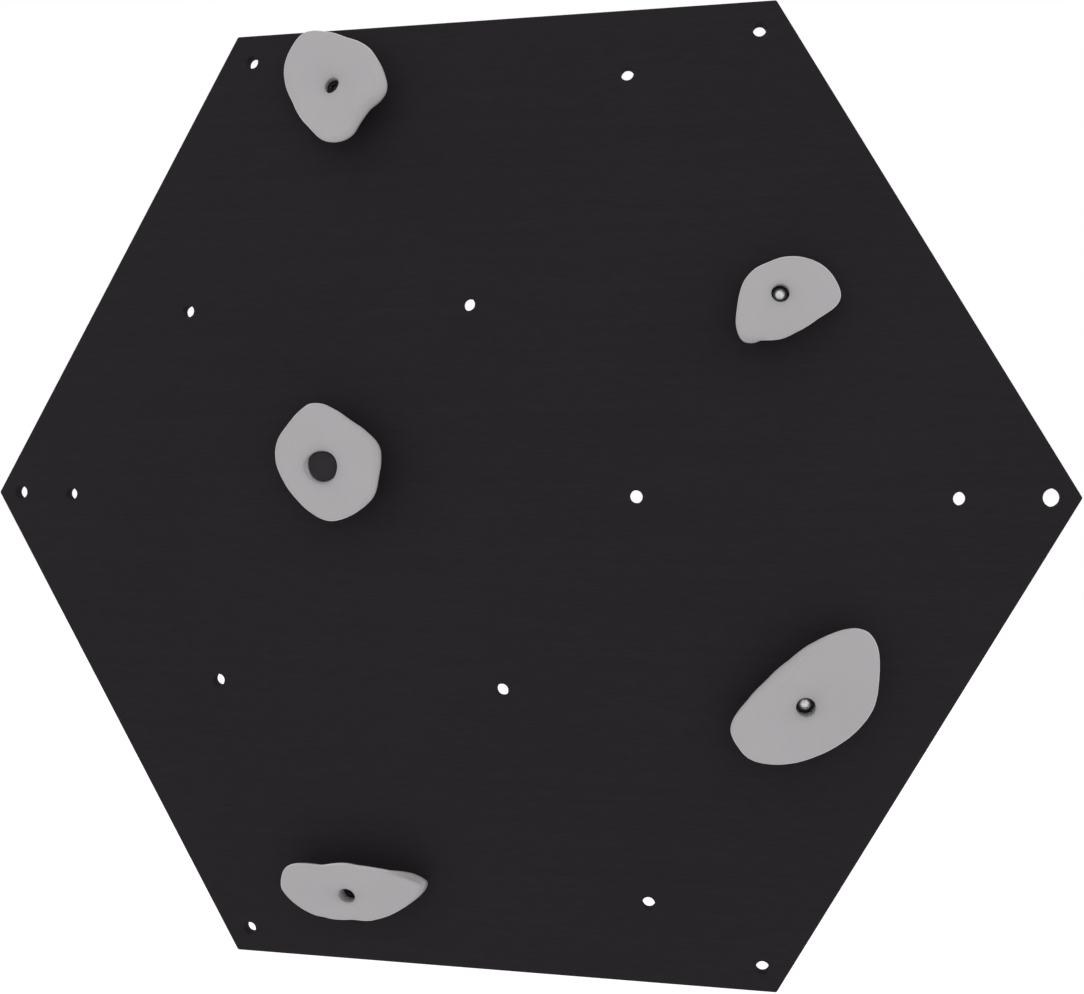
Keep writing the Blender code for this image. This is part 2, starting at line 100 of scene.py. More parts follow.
# Fixings
HEAD_RADIUS = 8 * MM
HEAD_HEIGHT = 10 * MM
HEAD_ROUND = 0.8 * MM
KNURL_DEPTH = 0.3 * MM
KNURL_HEIGHTS = (8.4 * MM, 5 * MM, 1.6 * MM)
SOCKET_ACROSS_FLATS = 8 * MM
SOCKET_DEPTH = 5 * MM
BOLT_LENGTH = 20 * MM
BOLT_CREST = 4.9 * MM
BOLT_THREAD_DEPTH = 0.7 * MM
PLAIN_SHANK = 3 * MM
NUT_CREST = 5.05 * MM
NUT_THREAD_DEPTH = 0.5 * MM
THREAD_SLOPE = 3.2  # how steeply a thread falls from its flat crest to its flat root
THREAD_FLAT = 0.3  # and how broad those flats are, at that slope
RINGS_PER_TURN = 8
WASHER_RADIUS = 9 * MM
WASHER_HOLE_RADIUS = 5.3 * MM
WASHER_THICKNESS = 1.6 * MM
FLANGE_RADIUS = 18.5 * MM
FLANGE_THICKNESS = 2 * MM
BARREL_RADIUS = 6.4 * MM
BARREL_LENGTH = 8 * MM
SCREW_CIRCLE_RADIUS = 12.6 * MM
SCREWS_PER_TNUT = 3
SCREW_HEAD_RADIUS = 3.1 * MM
SCREW_HEAD_HEIGHT = 1.5 * MM
SCREW_RADIUS = 1.5 * MM
SCREW_LENGTH = 8 * MM
SCREW_PITCH = 1.1 * MM
SCREW_THREAD_DEPTH = 0.35 * MM
GAP = 0.3 * MM  # clearance between pieces that touch
BOLT_TURNS = (12, 47, 31, 5, 26)  # how far each bolt has been screwed round, in degrees
SCREW_TURN = 0.7  # how much further each screw of a T-nut was driven than the last, in radians
BRIGHT_BOLTS = ("hold_upper_right", "hold_lower_right")

# Holds
HOLD_BACK = BOARD_THICKNESS + GAP
SEAT_HEIGHT = 6 * MM
BOLT_CLEARANCE_RADIUS = 5.8 * MM
EDGE_ROUND = 3.5 * MM  # where the edge is sharpest
RIM_TURN = 25  # degrees from the board's normal at which the rounded edge leaves the crisp rim
MOUTH_ROUND = 0.6 * MM
DIMPLE_DEPTH = 3.2 * MM
DIMPLE_REACH = 7 * MM
STEEP_REACH = 24 * MM  # how far from the bore its steeper slope fades
CROWN = 2 * MM
BELLY = 0.06  # how much the side draws in below its middle and swells above it
BEVEL_SHARPNESS = 80  # how quickly a bevelled stretch of edge ends on either side
BROAD_WAVES = 45  # how closely the unevenness of the cast face is set, per metre
FINE_WAVES = 140
FINE_SHARE = 0.4
TRUE_FOOT = 0.8 * MM  # the foot is even up to this height
TRUE_MOUTH = 1.5 * MM  # and so is the face this far round the widest cap
WEAR_AND_LIGHT_PALER = 1.45  # how much paler the resin is where it is worn, or carries painted light
# painted light: how pale the ledge in the wide bore is, which pales the bore's wall above it
LEDGE_PAINTED_LIGHT = 0.7
LIP_PAINTED_SHADE = 0.8  # painted shade on the face beside the lip of its bore
PAINTED_SHADE_FADE = 9  # how quickly that painted shade fades towards the edge

# The rings of a hold: at these shares of its height up its side, at these degrees from the board's normal
# round its edge, and so many over its face, where they crowd towards the bore
SIDE_SHARES = (0.0, 0.03, 0.1, 0.2, 0.3, 0.4, 0.5, 0.6, 0.7, 0.8, 0.9, 0.95)
PALE_RIM_SIDE_SHARE = 0.98
PALE_RIM_EDGE_TURNS = (RIM_TURN + 6, 40, 50)
EDGE_TURNS = (60, 71, 81, 90)
FACE_RINGS = 24
FACE_CROWDING = 1.25

# The cap of the wide bore, which lies on a ledge in its mouth. The mouth, and the cap with its ledge, are
# drawn out of round by lobes, each with its direction in degrees and its reach.
CAPPED_HOLD = "hold_middle_left"
CAP_RADIUS = 16.1 * MM
CAP_THICKNESS = 3 * MM
CAP_DEPTH = 5 * MM
MOUTH_LOBES = ((175, 3.0 * MM), (225, 1.1 * MM), (300, 2.4 * MM), (15, 1.3 * MM))
# the cap's lobe puts its dark plastic where only a shaded gap would show, standing in for that shade
CAP_LOBES = ((142, 2.4 * MM),)
LOBE_SHARPNESS = 5

# Each hold, with its directions in degrees from the right, anticlockwise:
# - height: how far its face stands off the board at the bolt
# - rise: how much higher the face gets per metre, towards rises_towards
# - steeper: how much more it rises right at the bore
# - lean: how far its side leans out over its foot, as a share of its height
# - more_lean: how much more it leans out towards leans_most
# - softer: how much wider its edge is rounded, as a share, towards softest
# - bevel: where a short stretch of its edge is bevelled, and how far that reaches inwards and down
# - outline: points of its outline about the bolt, in millimetres
Hold = namedtuple(
    "Hold",
    "height rise rises_towards lean more_lean leans_most softer softest outline bore_radius steeper bevel",
    defaults=(9.3 * MM, 0.0, (0, 0, 0)),
)
HOLDS = {
    "hold_top_left": Hold(
        height=31 * MM,
        rise=0.22,
        rises_towards=-35,
        steeper=0.34,
        lean=0.32,
        more_lean=0.26,
        leans_most=-45,
        softer=2.9,
        softest=-30,
        outline=(
            (61.2, 9.7), (54, 23.7), (44.1, 37), (29.6, 47.1), (14, 53.9), (-9.4, 63.4), (-25.7, 66.8),
            (-40.9, 64.6), (-54.5, 49), (-61.2, 28.4), (-58.1, 7.2), (-46.7, -17), (-28.5, -42.6),
            (-7.6, -61.5), (12.1, -64.5), (26.6, -58.2), (36, -43.8), (45.6, -31.4), (58.8, -21.4),
            (65.6, -10.2),
        ),
    ),
    "hold_upper_right": Hold(
        height=33 * MM,
        rise=0.16,
        rises_towards=215,
        lean=0.22,
        more_lean=0.10,
        leans_most=245,
        softer=0.3,
        softest=215,
        bevel=(238, 3.5 * MM, 6 * MM),
        outline=(
            (55, 14.4), (44.1, 27.3), (24.6, 36.6), (8.8, 38.1), (-12.6, 32), (-25.7, 25.4), (-35, 15.4),
            (-41.1, 0.7), (-43.9, -14.5), (-44.4, -35.6), (-38.3, -49), (-26.8, -51.3), (-19.4, -49),
            (1, -47.3), (17.6, -39.8), (36.1, -28), (56.7, -12.4), (60.7, -2.9),
        ),
    ),
    "hold_middle_left": Hold(
        height=38 * MM,
        rise=0.12,
        rises_towards=10,
        lean=0.28,
        more_lean=0.18,
        leans_most=0,
        softer=2.7,
        softest=20,
        bore_radius=17.6 * MM,
        outline=(
            (68.4, 4.8), (66.1, 22.5), (50.3, 39.4), (33.2, 50.9), (15, 62.6), (2.7, 68.3), (-13.1, 69),
            (-21.9, 64.5), (-40.5, 46.3), (-53.8, 27.8), (-55.7, 5.9), (-44.6, -19.3), (-32.4, -34.4),
            (-16.2, -48.9), (7.1, -59.1), (28, -55.8), (45.4, -46.5), (60.5, -32), (65.9, -11.8),
        ),
    ),
    "hold_lower_right": Hold(
        height=37 * MM,
        rise=0.14,
        rises_towards=125,
        lean=0.24,
        more_lean=0.12,
        leans_most=110,
        softer=3.0,
        softest=130,
        bore_radius=10.0 * MM,
        outline=(
            (71.6, 30.1), (70.3, 62.1), (61.5, 77.6), (50, 82.1), (39.6, 81.3), (27.1, 77.5), (5.2, 66.1),
            (-20.2, 45.3), (-38.9, 27.2), (-56.6, 8.3), (-71.3, -10.9), (-75.6, -25), (-69, -41.2),
            (-55.9, -55.4), (-34, -60.6), (-13.3, -58.8), (10.8, -50.8), (31.7, -39.2), (50.8, -23),
            (66, -1),
        ),
    ),
    "hold_bottom_left": Hold(
        height=37 * MM,
        rise=0.30,
        rises_towards=92,
        steeper=0.25,
        lean=0.15,
        more_lean=0.38,
        leans_most=82,
        softer=0.2,
        softest=18,
        bevel=(19, 0.5 * MM, 16 * MM),
        outline=(
            (83.5, 8.6), (88.2, 20.2), (80, 24.7), (71.4, 28.1), (57, 32.7), (50.1, 33.8), (27.6, 37.1),
            (11.4, 39.1), (-21.8, 36.4), (-53.5, 36), (-65.3, 30.7), (-72.5, 17.6), (-73, 1.2), (-57.4, -17),
            (-40, -26.7), (-25.8, -29.9), (1.6, -30.7), (25.2, -29.4), (47.8, -20.6), (66, -8.2),
        ),
    ),
}

# Most values of a noise lie between these
NOISE_RANGE = (0.3, 0.7)

# Camera, worked out from the six corners of the board in a photograph of 1084 by 994 pixels
PHOTO_WIDTH = 1084
PHOTO_HEIGHT = 994
CAMERA_PLACE = (0.24266, -1.16005, 0.03872)
CAMERA_TURN = math.radians(9.4723)
FOCAL_PIXELS = 1073.08
HORIZON_ROW = 459.33
SENSOR_WIDTH = 36.0

# What the sizes and colours below share
COLOUR = dict(subtype="COLOR", size=3, min=0.0, max=1.0)
SHARE = dict(subtype="FACTOR", min=0.0, max=1.0)


class BoardLook(bpy.types.PropertyGroup):
    stain: FloatVectorProperty(
        name="Stain",
        description="Colour of the stained plywood",
        default=(0.0203, 0.0175, 0.0203),
        **COLOUR,
    )
    grain: FloatProperty(name="Grain", description="How plainly the grain shows", default=0.1, **SHARE)
    plies: IntProperty(name="Plies", description="Layers of veneer in the board", min=3, default=9)
    hole_round: FloatProperty(
        name="Hole rounding",
        description="Radius worked on the mouth of every hole",
        unit="LENGTH",
        default=0.2 * MM,
    )
    hole_sides: IntProperty(name="Hole sides", description="Faces round a hole", min=12, default=48)


class HoldLook(bpy.types.PropertyGroup):
    resin: FloatVectorProperty(
        name="Resin",
        description="Colour of the cast resin and sand",
        default=(0.416, 0.4045, 0.4055),
        **COLOUR,
    )
    cool_resin: FloatVectorProperty(
        name="Cool resin",
        description="Colour of the resin in its cooler patches",
        default=(0.416, 0.401, 0.4185),
        **COLOUR,
    )
    roughness: FloatProperty(
        name="Roughness", description="Roughness of the cast face", default=0.85, **SHARE
    )
    sides: IntProperty(name="Sides", description="Faces round a hold", min=36, default=180)
    waviness: FloatProperty(
        name="Waviness",
        description="How far the cast face wanders from its true shape",
        unit="LENGTH",
        default=0.25 * MM,
    )


class FixingLook(bpy.types.PropertyGroup):
    zinc: FloatVectorProperty(
        name="Zinc", description="Colour of the zinc plating", default=(0.66, 0.66, 0.67), **COLOUR
    )
    black: FloatVectorProperty(
        name="Black oxide",
        description="Colour of the black bolts and washers",
        default=(0.035, 0.034, 0.036),
        **COLOUR,
    )
    cap: FloatVectorProperty(
        name="Cap",
        description="Colour of the plastic bolt cap",
        default=(0.0285, 0.0250, 0.0285),
        **COLOUR,
    )
    pitch: FloatProperty(
        name="Thread pitch",
        description="Distance between two turns of the bolts' thread",
        unit="LENGTH",
        default=1.5 * MM,
    )
    knurls: IntProperty(name="Knurls", description="Ridges round a bolt's head", min=12, default=36)


class StageLook(bpy.types.PropertyGroup):
    floor_height: FloatProperty(
        name="Floor height", description="Height of the floor", unit="LENGTH", default=-1.25
    )
    floor_radius: FloatProperty(
        name="Floor radius", description="How far the floor reaches", unit="LENGTH", default=9.0
    )
    floor_colour: FloatVectorProperty(
        name="Floor colour", description="Colour of the floor", default=(0.92, 0.92, 0.92), **COLOUR
    )
    light: FloatProperty(name="Light", description="Strength of the soft light all round", default=1.0)


# Shaping

# One ring of a loft: a function that takes a point of the drawn-out loop, as it was made, to its place, and
# how much wear and painted light, and how much painted shade, its surface carries there, from 0 to 1
Ring = namedtuple("Ring", "place worn grime", defaults=(0.0, 0.0))


def new_form():
    """An empty bmesh whose vertices remember where they lie on the loop that they are drawn out from."""
    form = bmesh.new()
    form.verts.layers.float_vector.new("base")
    form.verts.layers.float.new("worn")
    form.verts.layers.float.new("grime")
    return form


def remember_base(form, verts):
    """Notes where vertices lie on their loop, and gives back its edges."""
    base = form.verts.layers.float_vector["base"]
    for vert in verts:
        vert[base] = vert.co
    return list({edge for vert in verts for edge in vert.link_edges})


def circle(form, sides):
    """A loop of edges round a circle of radius 1."""
    return remember_base(form, bmesh.ops.create_circle(form, segments=sides, radius=1.0)["verts"])


def place_loop(form, loop, ring):
    """Moves a loop's vertices to a ring, and marks them with its wear and painted light, and its painted
    shade.
    """
    base = form.verts.layers.float_vector["base"]
    worn = form.verts.layers.float["worn"]
    grime = form.verts.layers.float["grime"]
    for vert in {vert for edge in loop for vert in edge.verts}:
        vert.co = ring.place(vert[base])
        vert[worn] = ring.worn
        vert[grime] = ring.grime


def loft(form, loop, rings):
    """Draws a loop of edges through every ring, and gives back its first and its last place."""
    first = loop
    place_loop(form, loop, rings[0])
    for ring in rings[1:]:
        made = bmesh.ops.extrude_edge_only(form, edges=loop)["geom"]
        verts = {item for item in made if isinstance(item, bmesh.types.BMVert)}
        edges = [item for item in made if isinstance(item, bmesh.types.BMEdge)]
        loop = [edge for edge in edges if verts.issuperset(edge.verts)]
        place_loop(form, loop, ring)
    return first, loop


def marked(rings, **marks):
    """The same rings, marked with wear and painted light, or with painted shade."""
    return [ring._replace(**marks) for ring in rings]


def level(radius, height, centre=(0.0, 0.0)):
    """A flat round ring about a centre, at a height."""
    return Ring(lambda base: Vector((centre[0] + radius * base.x, centre[1] + radius * base.y, height)))


def levels(points, centre=(0.0, 0.0)):
    """Flat round rings through (radius, height) points."""
    return [level(radius, height, centre) for radius, height in points]


def angle_of(base):
    """The direction of a point from the middle, the same for every copy of it."""
    return round(math.atan2(base.y, base.x), 6)


def polar_point(angle, radius, height):
    return Vector((radius * math.cos(angle), radius * math.sin(angle), height))


def around(profile):
    """A ring whose radius and height depend on the angle."""

    def place(base):
        angle = angle_of(base)
        return polar_point(angle, *profile(angle))

    return Ring(place)


def shaped(radius_of, height):
    """A flat ring whose radius depends on the angle."""
    return around(lambda angle: (radius_of(angle), height))


def fill_flat(form, loops):
    """The flat face between an outer loop and the loops of the holes in it."""
    bmesh.ops.triangle_fill(form, edges=[edge for loop in loops for edge in loop], use_beauty=True)


def close_with_point(form, loop, depth=0.0):
    """Closes a loop with a low cone, or with a flat fan."""
    face = bmesh.ops.edgeloop_fill(form, edges=loop)["faces"]
    made = bmesh.ops.poke(form, faces=face)
    for vert in made["verts"]:
        vert.co.z += depth


def quarter_round(radius, height, rounding, side, face):
    """(radius, height) points round an edge, from a flat face at this height to a wall at this radius."""
    points = []
    for step in range(ROUND_STEPS + 1):
        turn = math.pi / 2 * step / ROUND_STEPS
        inset = side * rounding * (1 - math.sin(turn))
        drop = face * rounding * (1 - math.cos(turn))
        points.append((radius - inset, height - drop))
    return points


def rounded_wall(radius, top, bottom, side, top_round, bottom_round=None):
    """(radius, height) points down a wall between two flat faces, with both its edges rounded."""
    points = quarter_round(radius, top, top_round, side, UPPER)
    points += reversed(quarter_round(radius, bottom, bottom_round or top_round, side, LOWER))
    support = side * SUPPORT
    return [(points[0][0] - support, top), *points, (points[-1][0] - support, bottom)]


def finish_piece(name, form, materials, slot, body, stands_for, place=(0.0, 0.0, 0.0), turn=0.0):
    """Makes a bmesh a piece of the panel, standing upright in its place.

    Where there are two materials, the walls take the second.
    """
    form.verts.layers.float_vector.remove(form.verts.layers.float_vector["base"])
    bmesh.ops.recalc_face_normals(form, faces=form.faces)
    for face in form.faces:
        face.material_index = int(len(materials) > 1 and abs(face.normal.z) < WALL_NORMAL)
    mesh = bpy.data.meshes.new(name)
    form.to_mesh(mesh)
    form.free()
    mesh.transform(UPRIGHT @ Matrix.Translation(place) @ Matrix.Rotation(turn, 4, "Z"))
    for material in materials:
        mesh.materials.append(material)
    mesh.shade_smooth()
    mesh.set_sharp_from_angle(angle=SHARP_ANGLE)
    piece = bpy.data.objects.new(name, mesh)
    bpy.context.scene.collection.objects.link(piece)
    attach(piece, body)
    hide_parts(stands_for)
    return piece


# Board


def box_centre(box):
    """The middle of a box, seen from the front."""
    low, high = Vector(box[0]), Vector(box[1])
    return Vector(((low.x + high.x) / 2, (low.z + high.z) / 2))


def screw_spots(spot):
    """The places of a T-nut's screws, on a circle round its bolt."""
    spots = []
    for number in range(SCREWS_PER_TNUT):
        angle = math.pi / 2 + number * math.tau / SCREWS_PER_TNUT
        spots.append(Vector(spot) + SCREW_CIRCLE_RADIUS * Vector((math.cos(angle), math.sin(angle))))
    return spots


def board_outline(form):
    """The board's outline with its six corners rounded."""
    corners = bmesh.ops.create_circle(form, segments=6, radius=BOARD_RADIUS)["verts"]
    bmesh.ops.rotate(form, verts=corners, matrix=Matrix.Rotation(math.pi / 6, 3, "Z"))
    bmesh.ops.bevel(
        form,
        geom=corners,
        offset=BOARD_CORNER_ROUND,
        segments=4,
        profile=0.5,
        affect="VERTICES",
        material=-1,
    )
    return remember_base(form, list(form.verts))


def board_form(look):
    """The board, with its holes and with a recess behind each bolt for a T-nut and its screws."""
    form = new_form()
    apothem = BOARD_RADIUS * math.cos(math.pi / 6)
    outline = board_outline(form)
    edge = rounded_wall(apothem, BOARD_THICKNESS, 0.0, OUTER, BOARD_EDGE_ROUND)
    front, back = loft(form, outline, levels([(reach / apothem, height) for reach, height in edge]))
    fronts, backs = [front], [back]
    for name, box in OPENINGS.items():
        if name.startswith(("spare_hole", "corner_hole")):
            radius = CORNER_HOLE_RADII.get(name, GRID_HOLE_RADIUS)
            points = rounded_wall(radius, BOARD_THICKNESS, 0.0, INNER, look.hole_round)
            first, last = loft(form, circle(form, look.hole_sides), levels(points, box_centre(box)))
            fronts.append(first)
            backs.append(last)
    for spot in BOLT_SPOTS.values():
        points = rounded_wall(GRID_HOLE_RADIUS, BOARD_THICKNESS, RECESS_DEPTH, INNER, look.hole_round)
        first, floor_hole = loft(form, circle(form, look.hole_sides), levels(points, spot))
        fronts.append(first)
        mouth = quarter_round(RECESS_RADIUS, 0.0, look.hole_round, INNER, LOWER)
        mouth.insert(0, (mouth[0][0] + SUPPORT, 0.0))
        mouth.append((RECESS_RADIUS, RECESS_DEPTH))
        first, floor_edge = loft(form, circle(form, look.hole_sides), levels(mouth, spot))
        backs.append(first)
        floor = [floor_hole, floor_edge]
        for screw_spot in screw_spots(spot):
            pilot = [(PILOT_RADIUS, RECESS_DEPTH), (PILOT_RADIUS, PILOT_DEPTH)]
            first, last = loft(form, circle(form, SIDES["pilot"]), levels(pilot, screw_spot))
            floor.append(first)
            close_with_point(form, last, depth=PILOT_POINT)
        fill_flat(form, floor)
    fill_flat(form, fronts)
    fill_flat(form, backs)
    return form


# Holds


@lru_cache(maxsize=None)
def smooth_radius(outline, angle):
    """The distance of a closed outline from the bolt in one direction, on a smooth curve through it.

    The curve is drawn in the reciprocal of the distance, which keeps straight stretches straight.
    """
    polar = sorted((math.atan2(y, x) % math.tau, math.hypot(x, y) * MM) for x, y in outline)
    count = len(polar)
    angle %= math.tau
    after = next((index for index, (turn, _) in enumerate(polar) if turn > angle), 0)
    around = [polar[(after + step) % count] for step in (-2, -1, 0, 1)]
    turns = [turn for turn, _ in around]
    for index in (1, 2, 3):
        while turns[index] < turns[index - 1]:
            turns[index] += math.tau
    while angle < turns[1] - 1e-9:
        angle += math.tau
    nearness = [1 / radius for _, radius in around]
    slope_before = (nearness[2] - nearness[0]) / (turns[2] - turns[0])
    slope_after = (nearness[3] - nearness[1]) / (turns[3] - turns[1])
    span = turns[2] - turns[1]
    share = (angle - turns[1]) / span
    cube = share**3
    square = share**2
    return 1 / (
        (2 * cube - 3 * square + 1) * nearness[1]
        + (cube - 2 * square + share) * span * slope_before
        + (3 * square - 2 * cube) * nearness[2]
        + (cube - square) * span * slope_after
    )


def face_height(hold, angle, radius):
    """How far the hold's face stands off the board: a tilted plane, crowned, with a dimple round the bore."""
    slope = hold.rise + hold.steeper * math.exp(-((radius / STEEP_REACH) ** 2))
    rise = slope * radius * math.cos(angle - math.radians(hold.rises_towards))
    crown = CROWN * (radius / smooth_radius(hold.outline, angle)) ** 2
    beyond = max(0.0, radius - hold.bore_radius)
    dimple = DIMPLE_DEPTH * math.exp(-beyond / DIMPLE_REACH)
    return hold.height + rise - crown - dimple


def edge_of(hold, angle):
    """The hold's edge in one direction: its reach, its height, and how far it is rounded inwards and down."""
    reach = smooth_radius(hold.outline, angle)
    softness = max(0.0, math.cos(angle - math.radians(hold.softest))) ** 2
    rounding = EDGE_ROUND * (1 + hold.softer * softness)
    direction, inwards, down = hold.bevel
    bevelled = max(0.0, math.cos(angle - math.radians(direction))) ** BEVEL_SHARPNESS
    return reach, face_height(hold, angle, reach), rounding + inwards * bevelled, rounding + down * bevelled


def flank_ring(hold, share):
    """A ring of the undercut side, at a share of its height."""
    most = math.radians(hold.leans_most)
    lean_over = hold.more_lean * Vector((math.cos(most), math.sin(most)))
    undercut = 1 - share + BELLY * math.sin(math.tau * share)

    def place(base):
        angle = angle_of(base)
        reach, top, _, down = edge_of(hold, angle)
        side = top - down * (1 - math.sin(math.radians(RIM_TURN)))
        inward = undercut * side
        across, up = inward * lean_over
        return polar_point(angle, reach - hold.lean * inward, share * side) - Vector((across, up, 0.0))

    return Ring(place)


def edge_ring(hold, turn):
    """A ring of the rounded edge, at so many degrees from the board's normal."""

    def profile(angle):
        reach, top, inwards, down = edge_of(hold, angle)
        inset = inwards * (math.cos(math.radians(RIM_TURN)) - math.cos(math.radians(turn)))
        drop = down * (1 - math.sin(math.radians(turn)))
        return reach - inset, top - drop

    return around(profile)


def lobes_at(lobes, angle):
    """How far a few lobes, each given by its direction and reach, draw a circle out in one direction."""
    turned = [(reach, math.cos(angle - math.radians(direction))) for direction, reach in lobes]
    return sum(reach * max(0.0, facing) ** LOBE_SHARPNESS for reach, facing in turned)


def has_cap(hold):
    return hold.bore_radius > CAP_RADIUS


def mouth_radius(hold, angle):
    return hold.bore_radius + (lobes_at(MOUTH_LOBES, angle) if has_cap(hold) else 0.0)


def face_ring(hold, share):
    """A ring of the face, at a share of the way from the bore's lip to the edge."""

    def profile(angle):
        reach, _, inwards, _ = edge_of(hold, angle)
        lip = mouth_radius(hold, angle) + MOUTH_ROUND
        radius = lip + (reach - inwards - lip) * share
        return radius, face_height(hold, angle, radius)

    return around(profile)


def mouth_ring(hold, outwards, below):
    """A ring of the bore's mouth, so far outside its wall and so far below the face."""

    def profile(angle):
        radius = mouth_radius(hold, angle) + outwards
        return radius, face_height(hold, angle, radius) - below

    return around(profile)


def cap_ring(radius, height):
    """A ring of the cap or of its ledge, out of round as the cap is."""
    return shaped(lambda angle: radius + lobes_at(CAP_LOBES, angle), height)


def cap_floor(hold):
    """The height of the ledge that a bolt cap rests on."""
    return hold.height - DIMPLE_DEPTH - CAP_DEPTH - CAP_THICKNESS - GAP


def hold_form(hold, look):
    """A hold, lofted from its foot over its edge and face and down its bore."""
    form = new_form()
    rings = [level(BOLT_CLEARANCE_RADIUS, 0.0)]
    rings += [flank_ring(hold, share) for share in SIDE_SHARES]
    # the crisp rim: worn, with a painted highlight
    rings += marked([flank_ring(hold, PALE_RIM_SIDE_SHARE)], worn=1.0)
    rings += marked([edge_ring(hold, turn) for turn in PALE_RIM_EDGE_TURNS], worn=1.0)
    rings += [edge_ring(hold, turn) for turn in EDGE_TURNS]
    # painted shade on the face, deepest beside the bore's lip
    for number in range(1, FACE_RINGS):
        share = (1 - number / FACE_RINGS) ** FACE_CROWDING
        rings += marked([face_ring(hold, share)], grime=LIP_PAINTED_SHADE * math.exp(-PAINTED_SHADE_FADE * share))
    # painted shade along the bore's lip
    rings += marked([mouth_ring(hold, MOUTH_ROUND, 0.0)], grime=1.0)
    halfway = 0.3 * MOUTH_ROUND
    rings += [mouth_ring(hold, halfway, halfway), mouth_ring(hold, 0.0, MOUTH_ROUND)]
    head_room = hold.bore_radius
    if has_cap(hold):
        head_room, chamfer = WASHER_RADIUS + 1 * MM, 0.3 * MM
        ledge = cap_floor(hold)
        # painted light on the ledge, which pales the bore's wall above it
        rings += marked([cap_ring(CAP_RADIUS + GAP, ledge)], worn=LEDGE_PAINTED_LIGHT)
        rings += levels([(head_room + chamfer, ledge), (head_room, ledge - chamfer)])
    rings += levels([(head_room, SEAT_HEIGHT), (BOLT_CLEARANCE_RADIUS, SEAT_HEIGHT)])
    first, last = loft(form, circle(form, look.sides), rings)
    bmesh.ops.bridge_loops(form, edges=first + last)
    spare_soft_sides(form, hold)
    roughen(form, look.waviness)
    return form


def spare_soft_sides(form, hold):
    """Takes the wear and painted highlight off an edge that is widely rounded, and paints shade on one that
    is bevelled.
    """
    worn = form.verts.layers.float["worn"]
    grime = form.verts.layers.float["grime"]
    for vert in form.verts:
        angle = angle_of(vert.co)
        reach, _, inwards, down = edge_of(hold, angle)
        if math.hypot(vert.co.x, vert.co.y) > reach - inwards:
            vert[worn] *= (EDGE_ROUND / inwards) ** 2
            vert[grime] = 1 - inwards / down


def roughen(form, depth):
    """Moves the outside of a hold in and out a little, as a hand-shaped mould does."""
    form.normal_update()
    for vert in form.verts:
        if vert.co.z > TRUE_FOOT and math.hypot(vert.co.x, vert.co.y) > CAP_RADIUS + TRUE_MOUTH:
            wave = noise.noise(vert.co * BROAD_WAVES) + FINE_SHARE * noise.noise(vert.co * FINE_WAVES)
            vert.co += depth * wave * vert.normal


# Fixings


def threaded(crest, pitch, depth, sign):
    """The radius of a screw thread by angle and height. sign is -1 for the thread of a nut."""

    def radius(angle, height):
        phase = (height / pitch - angle / math.tau) % 1.0
        fall = THREAD_SLOPE * abs(phase - 0.5) - THREAD_FLAT
        return crest - sign * depth * min(1.0, max(0.0, fall))

    return radius


def hexagon_radius(apothem):
    """The outline of a hexagon about its centre."""
    return lambda angle: apothem / math.cos((angle % (math.pi / 3)) - math.pi / 6)


def thread_rings(crest, pitch, depth, start, end, sign=1):
    """Rings down a thread from one height to another."""
    radius = threaded(crest, pitch, depth, sign)
    count = max(2, round(abs(end - start) / pitch * RINGS_PER_TURN))
    heights = [start + (end - start) * number / count for number in range(count + 1)]
    return [shaped(lambda angle, height=height: radius(angle, height), height) for height in heights]


def bolt_form(look):
    """A socket head bolt: its head rests at height 0 and its shank runs down.

    Painted shade darkens the face of the head, and leaves its socket bright.
    """
    form = new_form()
    apothem = SOCKET_ACROSS_FLATS / 2
    corner = apothem / math.cos(math.pi / 6)
    hexagon = hexagon_radius(apothem)
    countersink, lip, shade_reach = 0.5 * MM, corner + 0.1 * MM, corner + 0.6 * MM
    rings = [shaped(hexagon, HEAD_HEIGHT - SOCKET_DEPTH), shaped(hexagon, HEAD_HEIGHT - countersink)]
    # painted shade over the face of the head, fading out at the socket's lip
    rings += marked(levels([(lip, HEAD_HEIGHT)]), grime=0.5)
    rings += marked(levels([(shade_reach, HEAD_HEIGHT)]), grime=1.0)
    rings += marked(levels(quarter_round(HEAD_RADIUS, HEAD_HEIGHT, HEAD_ROUND, OUTER, UPPER)), grime=1.0)

    def knurled(angle):
        return HEAD_RADIUS - KNURL_DEPTH * abs(math.sin(look.knurls / 2 * angle))

    rings += [shaped(knurled, height) for height in KNURL_HEIGHTS]
    chamfer, fillet, point = 0.3 * MM, 0.4 * MM, 1 * MM
    rings += levels([(HEAD_RADIUS, 1 * MM), (HEAD_RADIUS, chamfer), (HEAD_RADIUS - chamfer, 0.0)])
    rings += levels([(BOLT_CREST + fillet, 0.0), (BOLT_CREST, -fillet), (BOLT_CREST, -PLAIN_SHANK)])
    start, end = -PLAIN_SHANK - chamfer, point - BOLT_LENGTH
    rings += thread_rings(BOLT_CREST, look.pitch, BOLT_THREAD_DEPTH, start, end)
    rings += levels([(BOLT_CREST - 1.2 * point, -BOLT_LENGTH)])
    first, last = loft(form, circle(form, 4 * look.knurls), rings)
    close_with_point(form, first, depth=-1 * MM)
    close_with_point(form, last)
    return form


def washer_form():
    """A stamped washer: rounded on its upper side, square below."""
    form = new_form()
    edge_round, hole_round, burr = 0.35 * MM, 0.25 * MM, 0.1 * MM
    points = quarter_round(WASHER_RADIUS, WASHER_THICKNESS, edge_round, OUTER, UPPER)
    points += [(WASHER_RADIUS, burr), (WASHER_RADIUS - burr, 0.0), (WASHER_HOLE_RADIUS, 0.0)]
    points += reversed(quarter_round(WASHER_HOLE_RADIUS, WASHER_THICKNESS, hole_round, INNER, UPPER))
    first, last = loft(form, circle(form, SIDES["washer"]), levels(points))
    bmesh.ops.bridge_loops(form, edges=first + last)
    return form


